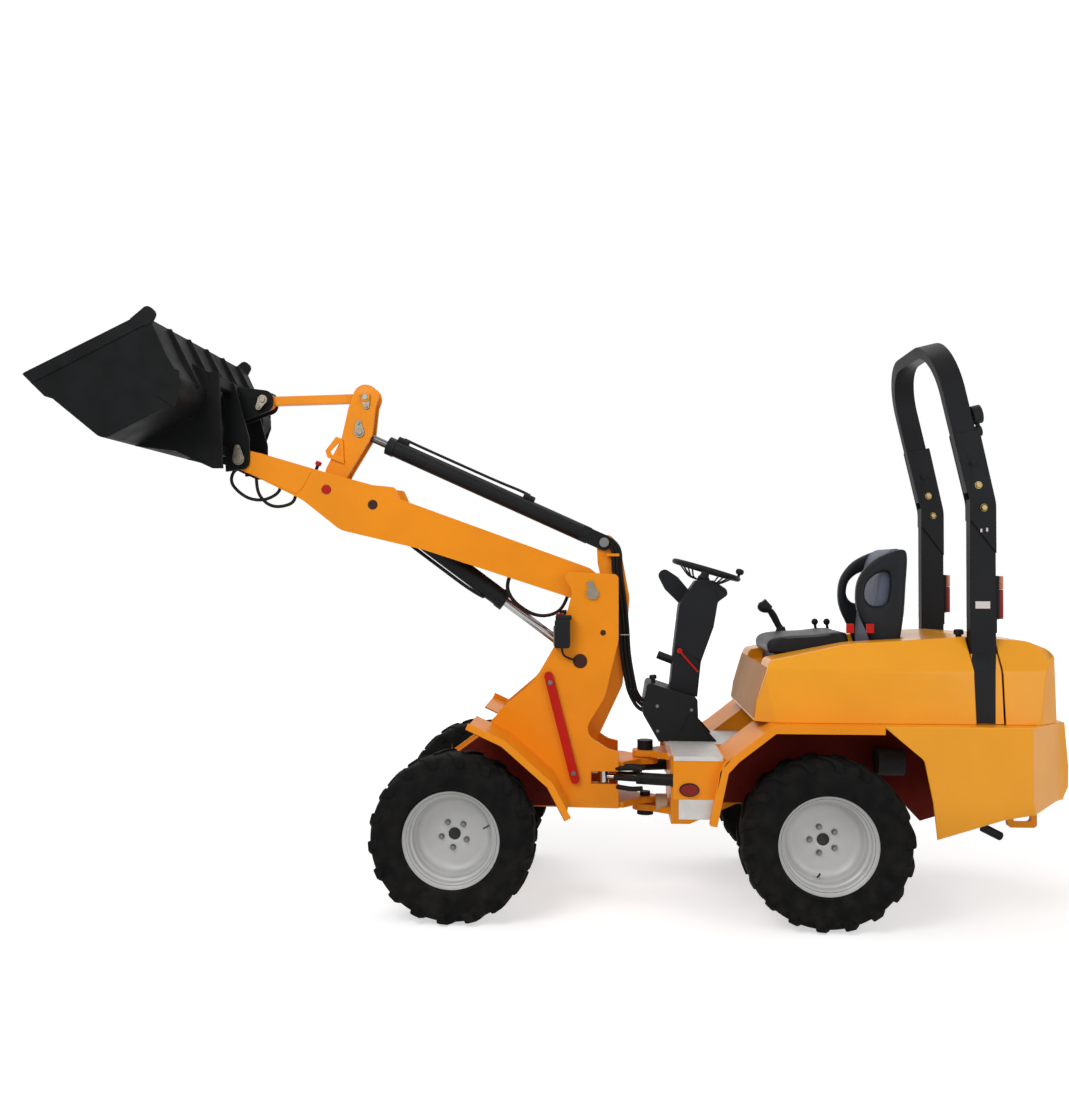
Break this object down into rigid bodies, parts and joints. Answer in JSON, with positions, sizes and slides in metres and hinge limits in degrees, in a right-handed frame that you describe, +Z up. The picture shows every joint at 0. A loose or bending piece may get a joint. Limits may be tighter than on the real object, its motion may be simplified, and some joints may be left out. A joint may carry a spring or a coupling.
{
  "type": "compact articulated wheel loader",
  "caption": "Compact articulated wheel loader: single boom with tilt lever and bucket on a quick hitch, open driver station, folding roll bar, four lugged tyres.",
  "frame": {"origin": "middle of the overall length and width, on the ground under the tyres", "axes": "+X forward towards the bucket, +Y to the driver's left, +Z up"},
  "size_m": [4.685, 1.312, 2.7445],
  "materials": {
    "orange_paint": "gloss orange paint",
    "black_paint": "satin black paint",
    "dark_paint": "dark grey paint",
    "red_paint": "red paint",
    "grey_rim": "silver grey paint",
    "tread_plate": "bright checker plate",
    "cast_grey": "dark castings",
    "steel_pin": "zinc plated pins",
    "chrome_rod": "hard chrome",
    "tyre_rubber": "black rubber",
    "hose_rubber": "black rubber hose",
    "seat_vinyl": "black vinyl",
    "black_plastic": "black moulded plastic",
    "lamp_red": "red lens",
    "lamp_amber": "amber lens"
  },
  "bodies": {
    "rear_chassis": {"rear_frame": "orange_paint", "rear_axle": "cast_grey", "pivot_pins": "black_paint", "operator_floor": "orange_paint", "floor_plates": "tread_plate", "console_box": "black_paint", "steering_column": "black_plastic", "rear_fenders": "orange_paint", "hood": "orange_paint", "rear_ballast": "orange_paint", "rops_posts": "black_paint", "seat_frame": "black_paint", "seat_cushion": "seat_vinyl", "seat_back": "seat_vinyl", "control_levers": "black_plastic", "engine_block": "cast_grey", "muffler": "cast_grey", "tow_hook": "orange_paint", "rear_lamps": "lamp_red", "side_markers": "lamp_amber"},
    "steering_wheel": {"steering_wheel": "black_plastic"},
    "bonnet": {"engine_bonnet": "orange_paint"},
    "hoop": {"rops_hoop": "black_paint", "hoop_lamp": "black_plastic"},
    "front_chassis": {"front_frame": "orange_paint", "front_axle": "cast_grey", "tower_pins": "steel_pin", "front_fenders": "orange_paint", "lock_bar": "red_paint", "work_lamps": "black_plastic", "tilt_hoses": "hose_rubber"},
    "boom": {"boom": "orange_paint", "boom_pins": "steel_pin", "boom_hoses": "hose_rubber"},
    "lift_barrel": {"lift_cylinder_barrel": "black_paint"},
    "lift_rod": {"lift_cylinder_rod": "chrome_rod"},
    "tilt_barrel": {"tilt_cylinder_barrel": "black_paint"},
    "tilt_rod": {"tilt_cylinder_rod": "chrome_rod"},
    "tilt_lever": {"tilt_lever": "orange_paint"},
    "tilt_link": {"tilt_link": "orange_paint"},
    "bucket": {"quick_hitch": "black_paint", "bucket": "dark_paint"},
    "steer_barrel_left": {"steering_barrel_left": "black_paint"},
    "steer_rod_left": {"steering_rod_left": "chrome_rod"},
    "steer_barrel_right": {"steering_barrel_right": "black_paint"},
    "steer_rod_right": {"steering_rod_right": "chrome_rod"},
    "wheel_front_left": {"tyre_front_left": "tyre_rubber", "rim_front_left": "grey_rim"},
    "wheel_front_right": {"tyre_front_right": "tyre_rubber", "rim_front_right": "grey_rim"},
    "wheel_rear_left": {"tyre_rear_left": "tyre_rubber", "rim_rear_left": "grey_rim"},
    "wheel_rear_right": {"tyre_rear_right": "tyre_rubber", "rim_rear_right": "grey_rim"}
  },
  "joints": [
    {"name": "articulation", "type": "hinge", "parent": "rear_chassis", "child": "front_chassis", "pos_m": [-0.47249, 0, 0.62], "axis": [0, 0, 1], "range_deg": [-38, 38]},
    {"name": "wheel_front_left_spin", "type": "hinge", "parent": "front_chassis", "child": "wheel_front_left", "pos_m": [0.40251, 0.5, 0.375], "axis": [0, 1, 0], "continuous": true},
    {"name": "wheel_front_right_spin", "type": "hinge", "parent": "front_chassis", "child": "wheel_front_right", "pos_m": [0.40251, -0.5, 0.375], "axis": [0, 1, 0], "continuous": true},
    {"name": "wheel_rear_left_spin", "type": "hinge", "parent": "rear_chassis", "child": "wheel_rear_left", "pos_m": [-1.23749, 0.5, 0.375], "axis": [0, 1, 0], "continuous": true},
    {"name": "wheel_rear_right_spin", "type": "hinge", "parent": "rear_chassis", "child": "wheel_rear_right", "pos_m": [-1.23749, -0.5, 0.375], "axis": [0, 1, 0], "continuous": true},
    {"name": "lift", "type": "hinge", "parent": "front_chassis", "child": "boom", "pos_m": [-0.21749, 0, 1.455], "axis": [0, -1, 0], "range_deg": [-61, 19.3]},
    {"name": "tilt", "type": "hinge", "parent": "boom", "child": "bucket", "pos_m": [1.51309, 0, 2.10893], "axis": [0, 1, 0], "range_deg": [-20, 93]},
    {"name": "lever_turn", "type": "hinge", "parent": "boom", "child": "tilt_lever", "pos_m": [1.08731, 0, 1.9598], "axis": [0, 1, 0], "range_deg": [-12.05, 55.98]},
    {"name": "link_turn", "type": "hinge", "parent": "tilt_lever", "child": "tilt_link", "pos_m": [0.91164, 0, 2.42472], "axis": [0, 1, 0], "range_deg": [-37.48, 8.07]},
    {"name": "lift_barrel_turn", "type": "hinge", "parent": "boom", "child": "lift_barrel", "pos_m": [0.85705, 0, 1.88455], "axis": [0, -1, 0], "range_deg": [-0.3, 0.93]},
    {"name": "lift_rod_slide", "type": "slide", "parent": "lift_barrel", "child": "lift_rod", "axis": [-0.8024, 0, -0.5968], "range_m": [-0.3328, 0.1053]},
    {"name": "tilt_barrel_turn", "type": "hinge", "parent": "front_chassis", "child": "tilt_barrel", "pos_m": [-0.27249, 0, 1.7], "axis": [0, -1, 0], "range_deg": [-61, 19.31]},
    {"name": "tilt_rod_slide", "type": "slide", "parent": "tilt_barrel", "child": "tilt_rod", "axis": [0.9108, 0, 0.4128], "range_m": [-0.0571, 0.2656]},
    {"name": "steer_barrel_left_turn", "type": "hinge", "parent": "rear_chassis", "child": "steer_barrel_left", "pos_m": [-0.74749, 0.25, 0.575], "axis": [0, 0, 1], "range_deg": [-12.48, 12.48]},
    {"name": "steer_rod_left_slide", "type": "slide", "parent": "steer_barrel_left", "child": "steer_rod_left", "axis": [0.9692, -0.2463, 0], "range_m": [-0.1152, 0.1152]},
    {"name": "steer_barrel_right_turn", "type": "hinge", "parent": "rear_chassis", "child": "steer_barrel_right", "pos_m": [-0.74749, -0.25, 0.575], "axis": [0, 0, 1], "range_deg": [-12.48, 12.48]},
    {"name": "steer_rod_right_slide", "type": "slide", "parent": "steer_barrel_right", "child": "steer_rod_right", "axis": [0.9692, 0.2463, 0], "range_m": [-0.1152, 0.1152]},
    {"name": "steering_wheel_turn", "type": "hinge", "parent": "rear_chassis", "child": "steering_wheel", "pos_m": [-0.77249, 0, 1.565], "axis": [-0.2823, 0, 0.9593], "range_deg": [-460.56, 460.56]},
    {"name": "bonnet_lid", "type": "hinge", "parent": "rear_chassis", "child": "bonnet", "pos_m": [-2.27849, 0, 0.888], "axis": [0, -1, 0], "range_deg": [0, 70]},
    {"name": "hoop_fold", "type": "hinge", "parent": "rear_chassis", "child": "hoop", "pos_m": [-1.96149, 0, 1.844], "axis": [0, -1, 0], "range_deg": [0, 105]}
  ],
  "couplings": [
    {"joint": "lever_turn", "follows": "tilt", "ratio": 0.59},
    {"joint": "link_turn", "follows": "tilt", "ratio": -0.395},
    {"joint": "lift_barrel_turn", "follows": "lift", "ratio": -0.01476},
    {"joint": "lift_rod_slide", "follows": "lift", "m_per_rad": 0.3065},
    {"joint": "tilt_barrel_turn", "follows": "lift", "ratio": 0.98027},
    {"joint": "tilt_rod_slide", "follows": "tilt", "m_per_rad": 0.16043},
    {"joint": "steer_barrel_left_turn", "follows": "articulation", "ratio": 0.32168},
    {"joint": "steer_rod_left_slide", "follows": "articulation", "m_per_rad": -0.17024},
    {"joint": "steer_barrel_right_turn", "follows": "articulation", "ratio": 0.32168},
    {"joint": "steer_rod_right_slide", "follows": "articulation", "m_per_rad": 0.17024},
    {"joint": "steering_wheel_turn", "follows": "articulation", "ratio": 12}
  ]
}
